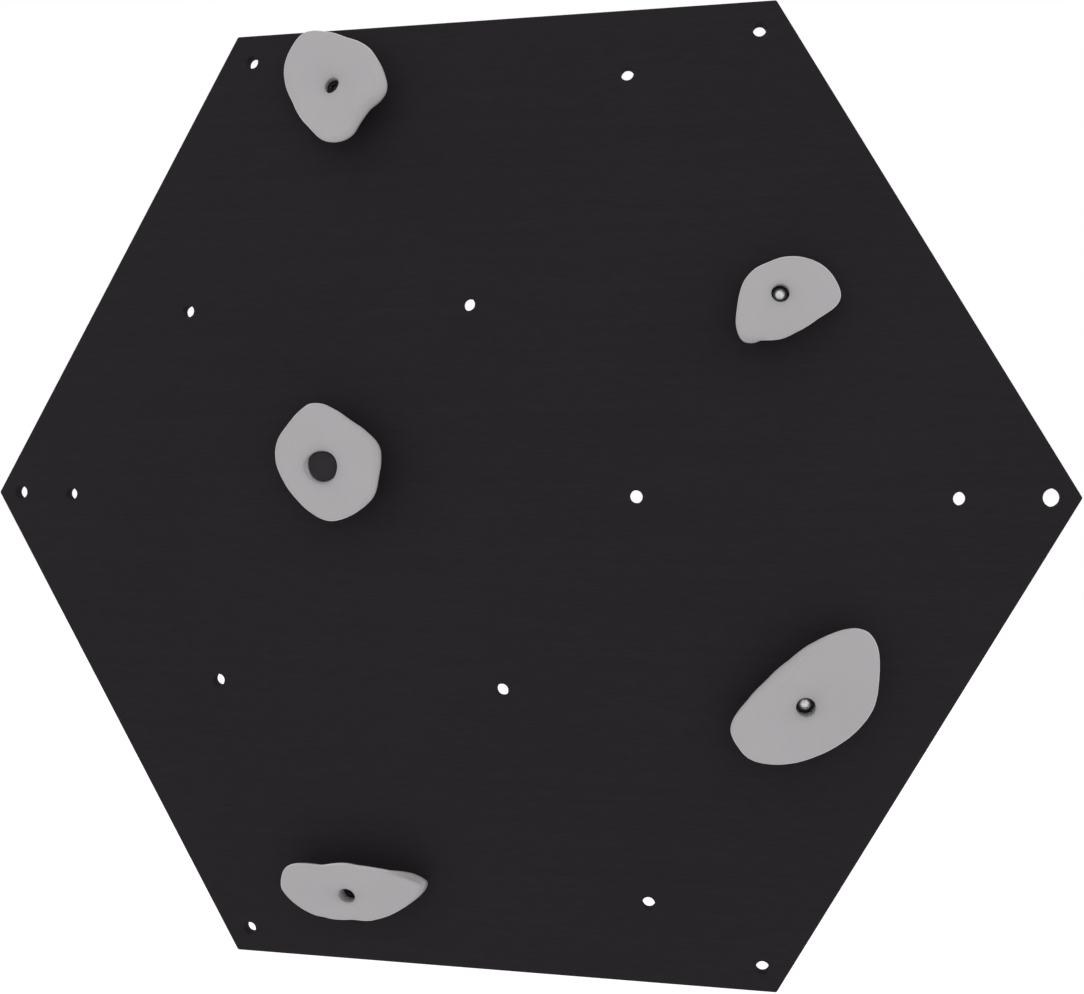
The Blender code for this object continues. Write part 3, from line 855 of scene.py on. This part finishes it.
def tnut_form(look):
    """A round flange with a threaded barrel, and countersunk holes for its screws."""
    form = new_form()
    top = FLANGE_THICKNESS
    end = top + BARREL_LENGTH
    edge = rounded_wall(FLANGE_RADIUS, top, 0.0, OUTER, 0.3 * MM, 0.5 * MM)
    upper, lower = loft(form, circle(form, SIDES["tnut"]), levels(edge))
    rings = levels([(BARREL_RADIUS + 0.6 * MM, top), (BARREL_RADIUS, top + 0.5 * MM)])
    chamfer = 0.3 * MM
    rings += levels([(BARREL_RADIUS, end - chamfer), (BARREL_RADIUS - chamfer, end)])
    rings += levels([(NUT_CREST + 0.6 * MM, end)])
    rings += thread_rings(NUT_CREST, look.pitch, NUT_THREAD_DEPTH, end - 0.4 * MM, 0.6 * MM, -1)
    rings += levels([(NUT_CREST + 0.7 * MM, 0.0)])
    foot, mouth = loft(form, circle(form, SIDES["tnut"]), rings)
    uppers, lowers = [upper, foot], [lower, mouth]
    for spot in screw_spots((0.0, 0.0)):
        outer, inner = SCREW_HEAD_RADIUS + GAP, SCREW_RADIUS + GAP
        points = [(outer, 0.0), (outer, 0.35 * MM), (inner, SCREW_HEAD_HEIGHT), (inner, top)]
        first, last = loft(form, circle(form, SIDES["screw_hole"]), levels(points, spot))
        lowers.append(first)
        uppers.append(last)
    fill_flat(form, uppers)
    fill_flat(form, lowers)
    return form


def cross_radius(arm, half_width):
    """The outline of a cross recess about its centre."""

    def radius(angle):
        turn = (angle + math.pi / 4) % (math.pi / 2) - math.pi / 4
        side = half_width / max(1e-6, abs(math.sin(turn)))
        return min(arm / math.cos(turn), side)

    return radius


def screw_form():
    """A countersunk screw with a cross recess, its head towards the back and its point into the board."""
    form = new_form()
    head = 0.1 * MM  # how far the head lies below the flange
    rings = [shaped(cross_radius(0.5 * MM, 0.15 * MM), head + 1.5 * MM)]
    rings += [shaped(cross_radius(1.5 * MM, 0.32 * MM), head + 0.4 * MM)]
    # painted shade deep in the cross recess
    rings = marked(rings, grime=1.0)
    rings += [shaped(cross_radius(1.75 * MM, 0.4 * MM), head)]
    rings += levels([(SCREW_HEAD_RADIUS - 0.1 * MM, head), (SCREW_HEAD_RADIUS, head + 0.1 * MM)])
    rings += levels([(SCREW_HEAD_RADIUS, 0.35 * MM), (SCREW_RADIUS, SCREW_HEAD_HEIGHT)])
    start, end = 1.9 * MM, SCREW_LENGTH - 2 * MM
    rings += thread_rings(SCREW_RADIUS, SCREW_PITCH, SCREW_THREAD_DEPTH, start, end)
    rings += levels([(0.6 * MM, SCREW_LENGTH - 0.5 * MM), (0.1 * MM, SCREW_LENGTH)])
    first, last = loft(form, circle(form, SIDES["screw"]), rings)
    close_with_point(form, first)
    close_with_point(form, last)
    return form


def cap_form():
    """A moulded cap: a disc with a rounded edge, a shallow dish and the mark of its gate."""
    form = new_form()
    dish, chamfer, edge_round = 0.35 * MM, 0.2 * MM, 0.9 * MM
    mark = [(0.8 * MM, CAP_THICKNESS), (1 * MM, CAP_THICKNESS - 0.1 * MM), (1.1 * MM, CAP_THICKNESS - dish)]
    rim = [(CAP_RADIUS - 3.2 * MM, CAP_THICKNESS - dish), (CAP_RADIUS - 2.6 * MM, CAP_THICKNESS)]
    rim += quarter_round(CAP_RADIUS, CAP_THICKNESS, edge_round, OUTER, UPPER)
    rim += [(CAP_RADIUS, chamfer), (CAP_RADIUS - chamfer, 0.0)]
    rings = levels(mark) + [cap_ring(radius, height) for radius, height in rim] + levels([(0.8 * MM, 0.0)])
    first, last = loft(form, circle(form, SIDES["cap"]), rings)
    close_with_point(form, first)
    close_with_point(form, last)
    return form


# Finishes


class Shader:
    """A material or node group in the making: adds nodes, links them and sets their values."""

    def __init__(self, tree):
        self.tree = tree
        self.count = 0

    def node(self, kind, settings=(), **inputs):
        """A node with its settings. An input is linked if it is given a socket, or set if given a value."""
        made = self.tree.nodes.new(kind)
        made.location = (200 * (self.count % 12), -260 * (self.count // 12))
        self.count += 1
        for name, value in dict(settings).items():
            setattr(made, name, value)
        for name, value in inputs.items():
            socket = self.socket(made, name)
            if isinstance(value, bpy.types.NodeSocket):
                self.tree.links.new(value, socket)
            else:
                socket.default_value = value
        return made

    @staticmethod
    def socket(node, name):
        """An input by its name, with _ for a space, or by its number after a _."""
        if name[0] == "_":
            return node.inputs[int(name[1:])]
        return node.inputs[name.replace("_", " ")]


def math_node(shader, operation, first, second=0.0, clamp=False):
    settings = {"operation": operation, "use_clamp": clamp}
    return shader.node("ShaderNodeMath", settings, _0=first, _1=second).outputs["Value"]


def times(shader, value, amount):
    return math_node(shader, "MULTIPLY", value, amount)


def total(shader, *terms):
    """The sum of several values."""
    result = terms[0]
    for term in terms[1:]:
        result = math_node(shader, "ADD", result, term)
    return result


def above_half(shader, value, amount):
    """How far a value lies above a half, times an amount."""
    return times(shader, math_node(shader, "SUBTRACT", value, 0.5), amount)


def spread(shader, value, low, high, out_low=0.0, out_high=1.0):
    """A value's range from low to high, stretched to another range and held in it."""
    made = shader.node(
        "ShaderNodeMapRange", Value=value, From_Min=low, From_Max=high, To_Min=out_low, To_Max=out_high
    )
    return made.outputs["Result"]


def noise_node(shader, place, scale=1.0, detail=2.0, roughness=0.5):
    made = shader.node("ShaderNodeTexNoise", Vector=place, Scale=scale, Detail=detail, Roughness=roughness)
    return made.outputs["Fac"]


def stretched(shader, place, scale):
    """Coordinates scaled by a different amount along each axis."""
    return shader.node("ShaderNodeMapping", Vector=place, Scale=scale).outputs["Vector"]


def mix_colour(shader, share, first, second):
    made = shader.node("ShaderNodeMix", {"data_type": "RGBA"}, _0=share, _6=first, _7=second)
    return made.outputs[2]


def scaled_colour(shader, colour, tone):
    made = shader.node("ShaderNodeVectorMath", {"operation": "SCALE"}, _0=(*colour,), Scale=tone)
    return made.outputs["Vector"]


def with_painted_shade(shader, colour, shade_colour=(0.006, 0.006, 0.006, 1.0), most=0.95):
    """A colour darkened by painted shade where the mesh is marked for it."""
    grime = shader.node("ShaderNodeAttribute", {"attribute_name": "grime"}).outputs["Fac"]
    return mix_colour(shader, times(shader, grime, most), colour, shade_colour)


def new_group(name, inputs, outputs):
    """A shader node group with float, vector or colour sockets, and a Shader to fill it with."""
    group = bpy.data.node_groups.new(name, "ShaderNodeTree")
    kinds = {"float": "NodeSocketFloat", "vector": "NodeSocketVector", "colour": "NodeSocketColor"}
    for socket_name, kind in inputs:
        group.interface.new_socket(name=socket_name, in_out="INPUT", socket_type=kinds[kind])
    for socket_name, kind in outputs:
        group.interface.new_socket(name=socket_name, in_out="OUTPUT", socket_type=kinds[kind])
    return group, Shader(group)


def uneven_tone_group():
    """A colour made a little lighter and darker in soft patches, with a fine speckle in it."""
    name = "Uneven tone"
    if name in bpy.data.node_groups:
        return bpy.data.node_groups[name]
    group, shader = new_group(
        name,
        [("Place", "vector"), ("Colour", "colour"), ("Patch Scale", "float"), ("Patches", "float")]
        + [("Speckle Scale", "float"), ("Speckle", "float")],
        [("Colour", "colour"), ("Patch", "float")],
    )
    given = shader.node("NodeGroupInput").outputs
    patch = noise_node(shader, given["Place"], given["Patch Scale"], detail=3.0)
    speckle = noise_node(shader, given["Place"], given["Speckle Scale"], detail=1.0)
    patch_change = above_half(shader, patch, given["Patches"])
    speck_change = above_half(shader, speckle, given["Speckle"])
    change = total(shader, patch_change, speck_change, 1.0)
    tinted = shader.node("ShaderNodeVectorMath", {"operation": "SCALE"}, _0=given["Colour"], Scale=change)
    end = shader.node("NodeGroupOutput")
    group.links.new(tinted.outputs["Vector"], end.inputs["Colour"])
    group.links.new(patch, end.inputs["Patch"])
    return group


def fine_relief_group():
    """The height of a gritty surface: coarse grains among finer ones."""
    name = "Fine relief"
    if name in bpy.data.node_groups:
        return bpy.data.node_groups[name]
    group, shader = new_group(name, [("Place", "vector"), ("Scale", "float")], [("Height", "float")])
    given = shader.node("NodeGroupInput").outputs
    coarse = noise_node(shader, given["Place"], given["Scale"], detail=2.0, roughness=0.6)
    fine = noise_node(shader, given["Place"], times(shader, given["Scale"], 3.1), detail=1.0)
    height = total(shader, coarse, times(shader, fine, 0.4))
    end = shader.node("NodeGroupOutput")
    group.links.new(height, end.inputs["Height"])
    return group


def use_group(shader, group, **inputs):
    return shader.node("ShaderNodeGroup", {"node_tree": group}, **inputs).outputs


def uneven_tone(shader, place, colour, patches, speckle):
    """A colour in soft patches with a speckle in it, each given by its scale and its strength."""
    return use_group(
        shader,
        uneven_tone_group(),
        Place=place,
        Colour=colour,
        Patch_Scale=patches[0],
        Patches=patches[1],
        Speckle_Scale=speckle[0],
        Speckle=speckle[1],
    )


def wandering(shader, noise_value, low, high):
    """A value that goes from low to high with a noise."""
    return spread(shader, noise_value, *NOISE_RANGE, low, high)


def new_material(name):
    """A material with nothing but its shader's output, and a Shader to fill it with."""
    made = bpy.data.materials.new(name)
    made.use_nodes = True
    made.node_tree.nodes.clear()
    return made, Shader(made.node_tree)


def end_material(shader, bump=None, **inputs):
    """The surface itself. Its inputs are those of the Principled BSDF."""
    if bump is not None:
        inputs["Normal"] = bump
    surface = shader.node("ShaderNodeBsdfPrincipled", **inputs)
    output = shader.node("ShaderNodeOutputMaterial")
    shader.tree.links.new(surface.outputs["BSDF"], output.inputs["Surface"])


def bump_node(shader, height, depth):
    return shader.node("ShaderNodeBump", Height=height, Distance=depth, Strength=1.0).outputs["Normal"]


def gritty(shader, place, scale, depth):
    """The bump of a gritty surface."""
    relief = use_group(shader, fine_relief_group(), Place=place, Scale=scale)
    return bump_node(shader, relief["Height"], depth)


def object_place(shader):
    return shader.node("ShaderNodeTexCoord").outputs["Object"]


def stained_plywood(look):
    """The faces of plywood stained black and lacquered, with their grain just showing."""
    made, shader = new_material("Stained plywood")
    place = object_place(shader)
    streaks = noise_node(shader, stretched(shader, place, (3.0, 1.0, 90.0)), detail=6.0, roughness=0.62)
    pores = noise_node(shader, stretched(shader, place, (60.0, 60.0, 1800.0)))
    cloud = noise_node(shader, place, 4.0)
    grain = above_half(shader, streaks, look.grain * 2.4)
    tone = total(shader, grain, times(shader, cloud, 0.15), times(shader, pores, 0.6), 0.625)
    height = total(shader, times(shader, pores, 0.5), streaks)
    end_material(
        shader,
        bump_node(shader, height, 0.12 * MM),
        Base_Color=scaled_colour(shader, look.stain, tone),
        Roughness=wandering(shader, streaks, 0.5, 0.62),
        Specular_IOR_Level=0.03,
    )
    return made


def sealed_ply_edge(look):
    """The cut edges of the plywood and the walls of its holes: plies with end grain, sealed in dull black."""
    made, shader = new_material("Sealed ply edge")
    place = object_place(shader)
    depth = shader.node("ShaderNodeSeparateXYZ", Vector=place).outputs["Y"]
    layer = times(shader, depth, -look.plies / BOARD_THICKNESS / 2)
    across = math_node(shader, "GREATER_THAN", math_node(shader, "FRACT", layer), 0.5)
    end_grain = noise_node(shader, stretched(shader, place, (500.0, 900.0, 500.0)), detail=3.0)
    tone = total(shader, times(shader, across, 0.5), 1.05)
    tone = times(shader, tone, total(shader, end_grain, 0.5))
    height = total(shader, end_grain, times(shader, across, 0.5))
    end_material(
        shader,
        bump_node(shader, height, 0.15 * MM),
        Base_Color=scaled_colour(shader, look.stain, tone),
        Roughness=wandering(shader, end_grain, 0.8, 0.95),
        Specular_IOR_Level=0.05,
    )
    return made


def cast_resin(look):
    """Resin and sand: matt and gritty, uneven in tone, its sharp rims worn pale with a painted highlight,
    painted light in the wide bore, and painted shade round its bores and on its bevels.
    """
    made, shader = new_material("Cast resin")
    place = object_place(shader)
    hue = spread(shader, noise_node(shader, place, 24.0), 0.44, 0.62)
    colour = mix_colour(shader, hue, (*look.resin, 1.0), (*look.cool_resin, 1.0))
    tone = uneven_tone(shader, place, colour, patches=(16.0, 0.10), speckle=(1300.0, 0.16))
    # wear and painted light: the rims, and the wide bore's wall, paler
    rim = shader.node("ShaderNodeAttribute", {"attribute_name": "worn"}).outputs["Fac"]
    broken = spread(shader, noise_node(shader, place, 70.0, detail=3.0), 0.35, 0.6, 0.45, 1.0)
    worn = math_node(shader, "MULTIPLY", rim, broken, clamp=True)
    pale = tuple(min(1.0, WEAR_AND_LIGHT_PALER * part) for part in look.resin)
    colour = mix_colour(shader, worn, tone["Colour"], (*pale, 1.0))
    # painted shade: darker round the bores and on the bevels
    colour = with_painted_shade(shader, colour, shade_colour=(0.12, 0.11, 0.105, 1.0), most=0.22)
    end_material(
        shader,
        gritty(shader, place, 1500.0, 0.12 * MM),
        Base_Color=colour,
        Roughness=wandering(shader, tone["Patch"], look.roughness - 0.05, look.roughness + 0.05),
        Specular_IOR_Level=0.3,
    )
    return made


def plated_steel(name, colour, roughness, patches, metallic=1.0):
    """Steel with a plated or blackened surface: faint cloudy patches, fine rubbing marks, and painted shade
    where the mesh is marked for it.
    """
    made, shader = new_material(name)
    place = object_place(shader)
    tone = uneven_tone(shader, place, (*colour, 1.0), (260.0, patches), (2400.0, patches * 0.6))
    rubbed = noise_node(shader, stretched(shader, place, (900.0, 5200.0, 900.0)))
    end_material(
        shader,
        bump_node(shader, rubbed, 0.02 * MM),
        Base_Color=with_painted_shade(shader, tone["Colour"]),
        Roughness=wandering(shader, tone["Patch"], roughness - 0.07, roughness + 0.09),
        Metallic=metallic,
    )
    return made


def moulded_cap(look):
    """Black plastic from a spark-eroded mould."""
    made, shader = new_material("Moulded cap")
    place = object_place(shader)
    tone = uneven_tone(shader, place, (*look.cap, 1.0), patches=(90.0, 0.25), speckle=(2600.0, 0.2))
    end_material(
        shader,
        gritty(shader, place, 3200.0, 0.06 * MM),
        Base_Color=tone["Colour"],
        Roughness=wandering(shader, tone["Patch"], 0.45, 0.58),
        Specular_IOR_Level=0.08,
    )
    return made


# Operators


class WALLPANEL_OT_board(bpy.types.Operator):
    """Build the drilled plywood board"""

    bl_idname = "wall_panel.board"
    bl_label = "Board"

    def execute(self, context):
        look = context.scene.wall_panel_board
        finishes = [stained_plywood(look), sealed_ply_edge(look)]
        finish_piece("panel_board", board_form(look), finishes, "board", "panel", "board")
        return {"FINISHED"}


class WALLPANEL_OT_holds(bpy.types.Operator):
    """Build the five cast holds"""

    bl_idname = "wall_panel.holds"
    bl_label = "Holds"

    def execute(self, context):
        look = context.scene.wall_panel_hold
        resin = [cast_resin(look)]
        for name, hold in HOLDS.items():
            place = (*BOLT_SPOTS[name], HOLD_BACK)
            finish_piece(f"cast_{name}", hold_form(hold, look), resin, "hold_resin", name, name, place)
        return {"FINISHED"}


class WALLPANEL_OT_bolts(bpy.types.Operator):
    """Build the bolts and washers that hold the holds"""

    bl_idname = "wall_panel.bolts"
    bl_label = "Bolts and washers"

    def execute(self, context):
        look = context.scene.wall_panel_fixing
        zinc = plated_steel("Bright zinc", look.zinc, roughness=0.30, patches=0.10)
        black = plated_steel("Black oxide steel", look.black, roughness=0.45, patches=0.30, metallic=0.7)
        washer_back = HOLD_BACK + SEAT_HEIGHT + GAP
        head_back = washer_back + WASHER_THICKNESS + GAP
        for (name, spot), turn in zip(BOLT_SPOTS.items(), BOLT_TURNS):
            seat = name.removeprefix("hold_")
            bright = name in BRIGHT_BOLTS
            finish = ([zinc], "bright_zinc", "panel") if bright else ([black], "black_steel", "panel")
            place = (*spot, head_back)
            turned = math.radians(turn)
            finish_piece(f"socket_bolt_{seat}", bolt_form(look), *finish, f"bolt_{seat}", place, turned)
            place = (*spot, washer_back)
            finish_piece(f"flat_washer_{seat}", washer_form(), *finish, f"washer_{seat}", place)
        return {"FINISHED"}


class WALLPANEL_OT_tnuts(bpy.types.Operator):
    """Build the T-nuts at the back and the screws that keep them there"""

    bl_idname = "wall_panel.tnuts"
    bl_label = "T-nuts and screws"

    def execute(self, context):
        look = context.scene.wall_panel_fixing
        dull = plated_steel("Dull zinc", 0.85 * Vector(look.zinc), roughness=0.42, patches=0.22)
        finish = ([dull], "nut_zinc", "panel")
        flange_back = RECESS_DEPTH - GAP - FLANGE_THICKNESS
        for name, spot in BOLT_SPOTS.items():
            seat = name.removeprefix("hold_")
            place = (*spot, flange_back)
            finish_piece(f"flanged_nut_{seat}", tnut_form(look), *finish, f"tnut_{seat}", place)
            for number, screw_spot in enumerate(screw_spots(spot), 1):
                place = (*screw_spot, flange_back)
                node = f"tnut_screw_{seat}_{number}"
                turn = number * SCREW_TURN
                finish_piece(f"cross_screw_{seat}_{number}", screw_form(), *finish, node, place, turn)
        return {"FINISHED"}


class WALLPANEL_OT_cap(bpy.types.Operator):
    """Build the cap over the bolt in the wide bore"""

    bl_idname = "wall_panel.cap"
    bl_label = "Bolt cap"

    def execute(self, context):
        look = context.scene.wall_panel_fixing
        place = (*BOLT_SPOTS[CAPPED_HOLD], HOLD_BACK + cap_floor(HOLDS[CAPPED_HOLD]) + GAP)
        node = "bolt_cap_middle_left"
        finish_piece("moulded_cap", cap_form(), [moulded_cap(look)], "cap_plastic", CAPPED_HOLD, node, place)
        return {"FINISHED"}


class WALLPANEL_OT_stage(bpy.types.Operator):
    """Set up the floor, the light and the camera"""

    bl_idname = "wall_panel.stage"
    bl_label = "Stage"

    def execute(self, context):
        look = context.scene.wall_panel_stage
        scene = context.scene
        make_floor(look)
        world = bpy.data.worlds.new("Soft light all round")
        world.use_nodes = True
        background = world.node_tree.nodes["Background"]
        background.inputs["Color"].default_value = (1.0, 1.0, 1.0, 1.0)
        background.inputs["Strength"].default_value = look.light
        scene.world = world
        scene.view_settings.view_transform = "Standard"
        lens = bpy.data.cameras.new("Photo camera")
        lens.sensor_width = SENSOR_WIDTH
        lens.lens = FOCAL_PIXELS / PHOTO_WIDTH * SENSOR_WIDTH
        lens.shift_y = (HORIZON_ROW - PHOTO_HEIGHT / 2) / PHOTO_WIDTH
        lens.clip_start = 0.01
        lens.clip_end = 60.0
        camera = bpy.data.objects.new("Photo camera", lens)
        camera.location = CAMERA_PLACE
        camera.rotation_euler = (math.pi / 2, 0.0, CAMERA_TURN)
        scene.collection.objects.link(camera)
        scene.camera = camera
        return {"FINISHED"}


def make_floor(look):
    """A pale round floor that a camera sees as white wherever nothing shades it."""
    form = bmesh.new()
    bmesh.ops.create_circle(form, cap_ends=True, segments=64, radius=look.floor_radius)
    bmesh.ops.translate(form, verts=form.verts, vec=(0.0, 0.0, look.floor_height))
    mesh = bpy.data.meshes.new("floor")
    form.to_mesh(mesh)
    form.free()
    made, shader = new_material("Pale floor")
    colour = (*look.floor_colour, 1.0)
    tone = uneven_tone(shader, object_place(shader), colour, patches=(0.8, 0.02), speckle=(300.0, 0.01))
    rays = shader.node("ShaderNodeLightPath").outputs
    seen = math_node(shader, "ADD", rays["Is Camera Ray"], rays["Is Glossy Ray"], clamp=True)
    seen = math_node(shader, "ADD", seen, rays["Is Transmission Ray"], clamp=True)
    end_material(
        shader,
        Base_Color=tone["Colour"],
        Roughness=0.9,
        Specular_IOR_Level=0.1,
        Emission_Color=(1.0, 1.0, 1.0, 1.0),
        Emission_Strength=times(shader, seen, 0.22),
    )
    mesh.materials.append(made)
    floor = bpy.data.objects.new("floor", mesh)
    bpy.context.scene.collection.objects.link(floor)


class WALLPANEL_PT_sidebar(bpy.types.Panel):
    bl_label = "Climbing wall panel"
    bl_idname = "WALLPANEL_PT_sidebar"
    bl_space_type = "VIEW_3D"
    bl_region_type = "UI"
    bl_category = "Wall Panel"

    def draw(self, context):
        for look, operators in PANEL_ROWS:
            column = self.layout.column(align=True)
            group = getattr(context.scene, look)
            for name in group.bl_rna.properties.keys():
                if name not in ("rna_type", "name"):
                    column.prop(group, name)
            for operator in operators:
                column.operator(operator.bl_idname)


LOOKS = {
    "wall_panel_board": BoardLook,
    "wall_panel_hold": HoldLook,
    "wall_panel_fixing": FixingLook,
    "wall_panel_stage": StageLook,
}
PANEL_ROWS = (
    ("wall_panel_board", (WALLPANEL_OT_board,)),
    ("wall_panel_hold", (WALLPANEL_OT_holds,)),
    ("wall_panel_fixing", (WALLPANEL_OT_bolts, WALLPANEL_OT_tnuts, WALLPANEL_OT_cap)),
    ("wall_panel_stage", (WALLPANEL_OT_stage,)),
)
OPERATORS = [operator for _, operators in PANEL_ROWS for operator in operators]
CLASSES = (*LOOKS.values(), *OPERATORS, WALLPANEL_PT_sidebar)


def register():
    for made in CLASSES:
        bpy.utils.register_class(made)
    for name, look in LOOKS.items():
        setattr(bpy.types.Scene, name, PointerProperty(type=look))


def unregister():
    for name in LOOKS:
        delattr(bpy.types.Scene, name)
    for made in reversed(CLASSES):
        bpy.utils.unregister_class(made)


def main():
    register()
    bpy.ops.wall_panel.stage()
    bpy.ops.wall_panel.board()
    bpy.ops.wall_panel.holds()
    bpy.ops.wall_panel.bolts()
    bpy.ops.wall_panel.tnuts()
    bpy.ops.wall_panel.cap()


if __name__ == "__main__":
    main()
